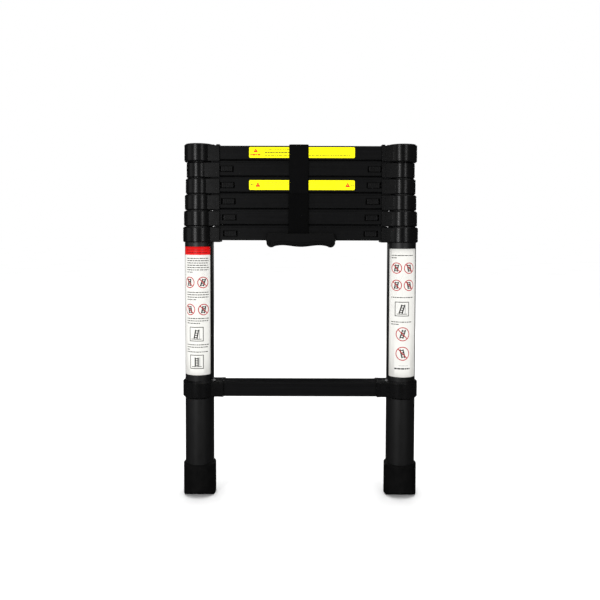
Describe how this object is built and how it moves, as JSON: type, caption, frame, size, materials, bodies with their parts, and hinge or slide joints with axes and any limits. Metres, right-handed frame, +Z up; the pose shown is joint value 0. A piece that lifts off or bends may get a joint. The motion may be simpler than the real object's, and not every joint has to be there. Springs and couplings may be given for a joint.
{
  "type": "telescoping ladder",
  "caption": "Closed telescoping ladder: nested round tubes, stacked hollow rungs with sliding release buttons and lock pins, carry handle, closing strap and rubber feet.",
  "frame": {"origin": "on the floor, midway between the two stiles and at their depth, under the middle of the closed ladder", "axes": "+Z up along the stiles, +X to the right seen from the front, -Y towards the climber (front, with the labels and buttons)"},
  "size_m": [0.4504, 0.0632, 0.6713],
  "materials": {
    "black_metal": "satin black coating on the aluminium",
    "black_plastic": "fine-textured glass-filled nylon",
    "button_plastic": "satin moulded plastic",
    "steel": "zinc-plated steel",
    "foot_rubber": "matt moulded rubber",
    "webbing": "woven hook-and-loop webbing",
    "yellow_label": "printed vinyl, red and black print",
    "white_label": "printed vinyl, black and red print"
  },
  "bodies": {
    "base": {"feet": "foot_rubber", "stile_tubes_1": "black_metal", "rung_1": "black_metal", "rung_2": "black_metal", "collars_1": "black_plastic", "collars_2": "black_plastic", "carry_handle": "black_plastic", "handle_screws": "steel", "stile_label_left": "white_label", "stile_label_right": "white_label", "latch_springs_2": "steel"},
    "section_2": {"stile_tubes_2": "black_metal", "glide_bushes_2": "black_plastic", "rung_3": "black_metal", "collars_3": "black_plastic", "latch_springs_3": "steel"},
    "section_3": {"stile_tubes_3": "black_metal", "glide_bushes_3": "black_plastic", "rung_4": "black_metal", "collars_4": "black_plastic", "latch_springs_4": "steel"},
    "section_4": {"stile_tubes_4": "black_metal", "glide_bushes_4": "black_plastic", "rung_5": "black_metal", "collars_5": "black_plastic", "latch_springs_5": "steel", "rung_label_5": "yellow_label"},
    "section_5": {"stile_tubes_5": "black_metal", "glide_bushes_5": "black_plastic", "rung_6": "black_metal", "collars_6": "black_plastic", "latch_springs_6": "steel"},
    "section_6": {"stile_tubes_6": "black_metal", "glide_bushes_6": "black_plastic", "rung_7": "black_metal", "collars_7": "black_plastic", "rung_label_7": "yellow_label", "strap_upper": "webbing", "strap_rivets": "steel"},
    "strap_flap": {"strap_lower": "webbing"},
    "latch_2_left": {"release_button_2_left": "button_plastic", "lock_pin_2_left": "steel"},
    "latch_2_right": {"release_button_2_right": "button_plastic", "lock_pin_2_right": "steel"},
    "latch_3_left": {"release_button_3_left": "button_plastic", "lock_pin_3_left": "steel"},
    "latch_3_right": {"release_button_3_right": "button_plastic", "lock_pin_3_right": "steel"},
    "latch_4_left": {"release_button_4_left": "button_plastic", "lock_pin_4_left": "steel"},
    "latch_4_right": {"release_button_4_right": "button_plastic", "lock_pin_4_right": "steel"},
    "latch_5_left": {"release_button_5_left": "button_plastic", "lock_pin_5_left": "steel"},
    "latch_5_right": {"release_button_5_right": "button_plastic", "lock_pin_5_right": "steel"},
    "latch_6_left": {"release_button_6_left": "button_plastic", "lock_pin_6_left": "steel"},
    "latch_6_right": {"release_button_6_right": "button_plastic", "lock_pin_6_right": "steel"}
  },
  "joints": [
    {"name": "extend_section_2", "type": "slide", "parent": "base", "child": "section_2", "axis": [0, 0, 1], "range_m": [0, 0.26965]},
    {"name": "extend_section_3", "type": "slide", "parent": "section_2", "child": "section_3", "axis": [0, 0, 1], "range_m": [0, 0.26965]},
    {"name": "extend_section_4", "type": "slide", "parent": "section_3", "child": "section_4", "axis": [0, 0, 1], "range_m": [0, 0.26965]},
    {"name": "extend_section_5", "type": "slide", "parent": "section_4", "child": "section_5", "axis": [0, 0, 1], "range_m": [0, 0.26965]},
    {"name": "extend_section_6", "type": "slide", "parent": "section_5", "child": "section_6", "axis": [0, 0, 1], "range_m": [0, 0.26965]},
    {"name": "flap_open", "type": "hinge", "parent": "base", "child": "strap_flap", "pos_m": [-0.004, -0.02428, 0.50177], "axis": [1, 0, 0], "range_deg": [0, 160]},
    {"name": "latch_2_left", "type": "slide", "parent": "base", "child": "latch_2_left", "axis": [1, 0, 0], "range_m": [-0.0018, 0.002], "stiffness_N_per_m": 500, "deforming": ["latch_springs_2"]},
    {"name": "latch_2_right", "type": "slide", "parent": "base", "child": "latch_2_right", "axis": [-1, 0, 0], "range_m": [-0.0018, 0.002], "stiffness_N_per_m": 500, "deforming": ["latch_springs_2"]},
    {"name": "latch_3_left", "type": "slide", "parent": "section_2", "child": "latch_3_left", "axis": [1, 0, 0], "range_m": [-0.0018, 0.002], "stiffness_N_per_m": 500, "deforming": ["latch_springs_3"]},
    {"name": "latch_3_right", "type": "slide", "parent": "section_2", "child": "latch_3_right", "axis": [-1, 0, 0], "range_m": [-0.0018, 0.002], "stiffness_N_per_m": 500, "deforming": ["latch_springs_3"]},
    {"name": "latch_4_left", "type": "slide", "parent": "section_3", "child": "latch_4_left", "axis": [1, 0, 0], "range_m": [-0.0018, 0.002], "stiffness_N_per_m": 500, "deforming": ["latch_springs_4"]},
    {"name": "latch_4_right", "type": "slide", "parent": "section_3", "child": "latch_4_right", "axis": [-1, 0, 0], "range_m": [-0.0018, 0.002], "stiffness_N_per_m": 500, "deforming": ["latch_springs_4"]},
    {"name": "latch_5_left", "type": "slide", "parent": "section_4", "child": "latch_5_left", "axis": [1, 0, 0], "range_m": [-0.0018, 0.002], "stiffness_N_per_m": 500, "deforming": ["latch_springs_5"]},
    {"name": "latch_5_right", "type": "slide", "parent": "section_4", "child": "latch_5_right", "axis": [-1, 0, 0], "range_m": [-0.0018, 0.002], "stiffness_N_per_m": 500, "deforming": ["latch_springs_5"]},
    {"name": "latch_6_left", "type": "slide", "parent": "section_5", "child": "latch_6_left", "axis": [1, 0, 0], "range_m": [-0.0018, 0.002], "stiffness_N_per_m": 500, "deforming": ["latch_springs_6"]},
    {"name": "latch_6_right", "type": "slide", "parent": "section_5", "child": "latch_6_right", "axis": [-1, 0, 0], "range_m": [-0.0018, 0.002], "stiffness_N_per_m": 500, "deforming": ["latch_springs_6"]}
  ]
}
